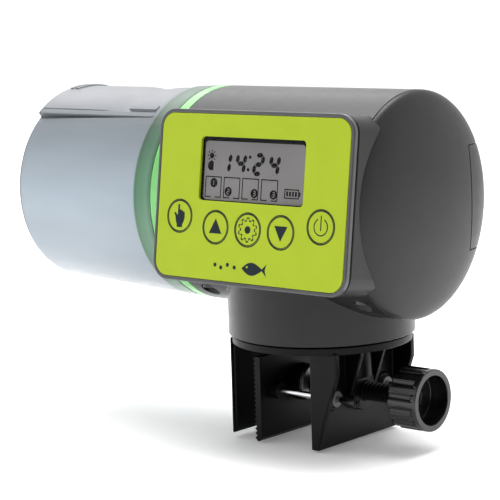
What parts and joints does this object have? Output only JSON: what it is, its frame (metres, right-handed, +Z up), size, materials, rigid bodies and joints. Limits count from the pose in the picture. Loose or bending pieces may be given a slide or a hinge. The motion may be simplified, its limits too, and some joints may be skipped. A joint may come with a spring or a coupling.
{
  "type": "automatic fish feeder",
  "caption": "Automatic aquarium feeder with a rotating smoky food drum, a lime control panel with display and keys, and a swivelling screw clamp for a tank rim.",
  "frame": {"origin": "centre of the underside of the clamp disc, on the swivel axis, where the top edge of the tank wall bears", "axes": "+X along the drum axis towards the domed end, -Y towards the control panel, +Z up"},
  "size_m": [0.1491, 0.0757, 0.111],
  "materials": {
    "clamp_plastic": "fine matt moulded",
    "knob_plastic": "satin",
    "bush_plastic": "smooth",
    "zinc_steel": "zinc plated",
    "bright_steel": "ground and polished",
    "shell_plastic": "fine spark texture",
    "bezel_plastic": "satin",
    "lime_face": "satin printed overlay",
    "clear_lens": "clear",
    "lcd_grey": "liquid crystal display",
    "connector_rubber": "elastomer strip",
    "board_green": "solder mask",
    "black_component": "moulded",
    "cell_wrap": "plain printed wrap",
    "nickel": "nickel plated",
    "natural_acetal": "smooth",
    "motor_can": "drawn steel",
    "brass_pinion": "machined",
    "cam_blue": "smooth",
    "green_cap": "translucent",
    "smoke_drum": "smoky translucent"
  },
  "bodies": {
    "clamp": {"clamp_frame": "clamp_plastic", "guide_bushes": "bush_plastic", "swivel_retainer": "zinc_steel", "pivot_screw": "zinc_steel"},
    "jaw": {"clamp_jaw": "clamp_plastic", "guide_pins": "bright_steel", "screw_retainer": "zinc_steel"},
    "screw": {"clamp_screw": "knob_plastic", "clamp_knob": "knob_plastic"},
    "feeder": {"housing": "shell_plastic", "end_dome": "shell_plastic", "drive_end_cap": "shell_plastic", "housing_screws": "zinc_steel", "bezel": "bezel_plastic", "face_plate": "lime_face", "window_lens": "clear_lens", "lcd_module": "lcd_grey", "lcd_connector": "connector_rubber", "circuit_board": "board_green", "control_chip": "black_component", "tact_switches": "black_component", "board_screws": "zinc_steel", "battery_tray": "black_component", "battery_cells": "cell_wrap", "contact_plates": "nickel", "contact_springs": "nickel", "gearbox_plate": "natural_acetal", "gearbox_screws": "zinc_steel", "gear_motor": "motor_can", "position_switch": "black_component"},
    "door": {"battery_door": "shell_plastic"},
    "feed_key": {"feed_button": "lime_face"},
    "up_key": {"up_button": "lime_face"},
    "set_key": {"set_button": "lime_face"},
    "down_key": {"down_button": "lime_face"},
    "power_key": {"power_button": "lime_face"},
    "pinion": {"motor_shaft": "bright_steel", "motor_pinion": "brass_pinion"},
    "drive": {"drive_shaft": "bright_steel", "output_gear": "natural_acetal", "position_cam": "cam_blue", "drive_hub": "natural_acetal"},
    "cap": {"drum_cap": "green_cap"},
    "drum": {"drum": "smoke_drum"},
    "shutter": {"shutter": "smoke_drum"}
  },
  "joints": [
    {"name": "swivel", "type": "hinge", "parent": "clamp", "child": "feeder", "pos_m": [0, 0, 0.004], "axis": [0, 0, 1], "continuous": true},
    {"name": "jaw_slide", "type": "slide", "parent": "clamp", "child": "jaw", "axis": [1, 0, 0], "range_m": [-0.004, 0.012]},
    {"name": "knob_turn", "type": "hinge", "parent": "jaw", "child": "screw", "pos_m": [0.02, 0, -0.015], "axis": [1, 0, 0], "range_deg": [-960, 2880]},
    {"name": "drum_turn", "type": "hinge", "parent": "feeder", "child": "drive", "pos_m": [-0.036, 0, 0.045], "axis": [1, 0, 0], "continuous": true},
    {"name": "pinion_turn", "type": "hinge", "parent": "feeder", "child": "pinion", "pos_m": [-0.03, 0, 0.0242], "axis": [1, 0, 0], "continuous": true},
    {"name": "cap_pull", "type": "slide", "parent": "drive", "child": "cap", "axis": [-1, 0, 0], "range_m": [0, 0.03]},
    {"name": "drum_pull", "type": "slide", "parent": "cap", "child": "drum", "axis": [-1, 0, 0], "range_m": [0, 0.02]},
    {"name": "shutter_slide", "type": "slide", "parent": "drum", "child": "shutter", "axis": [-1, 0, 0], "range_m": [0, 0.014]},
    {"name": "door_slide", "type": "slide", "parent": "feeder", "child": "door", "axis": [1, 0, 0], "range_m": [0, 0.02]},
    {"name": "feed_press", "type": "slide", "parent": "feeder", "child": "feed_key", "axis": [0, 0.9905, -0.1374], "range_m": [0, 0.0005], "stiffness_N_per_m": 2500, "springref_m": -0.0001},
    {"name": "up_press", "type": "slide", "parent": "feeder", "child": "up_key", "axis": [0, 0.9905, -0.1374], "range_m": [0, 0.0005], "stiffness_N_per_m": 2500, "springref_m": -0.0001},
    {"name": "set_press", "type": "slide", "parent": "feeder", "child": "set_key", "axis": [0, 0.9905, -0.1374], "range_m": [0, 0.0005], "stiffness_N_per_m": 2500, "springref_m": -0.0001},
    {"name": "down_press", "type": "slide", "parent": "feeder", "child": "down_key", "axis": [0, 0.9905, -0.1374], "range_m": [0, 0.0005], "stiffness_N_per_m": 2500, "springref_m": -0.0001},
    {"name": "power_press", "type": "slide", "parent": "feeder", "child": "power_key", "axis": [0, 0.9905, -0.1374], "range_m": [0, 0.0005], "stiffness_N_per_m": 2500, "springref_m": -0.0001}
  ],
  "couplings": [
    {"joint": "knob_turn", "follows": "jaw_slide", "rad_per_m": 4188.8},
    {"joint": "pinion_turn", "follows": "drum_turn", "ratio": -3.3333}
  ]
}
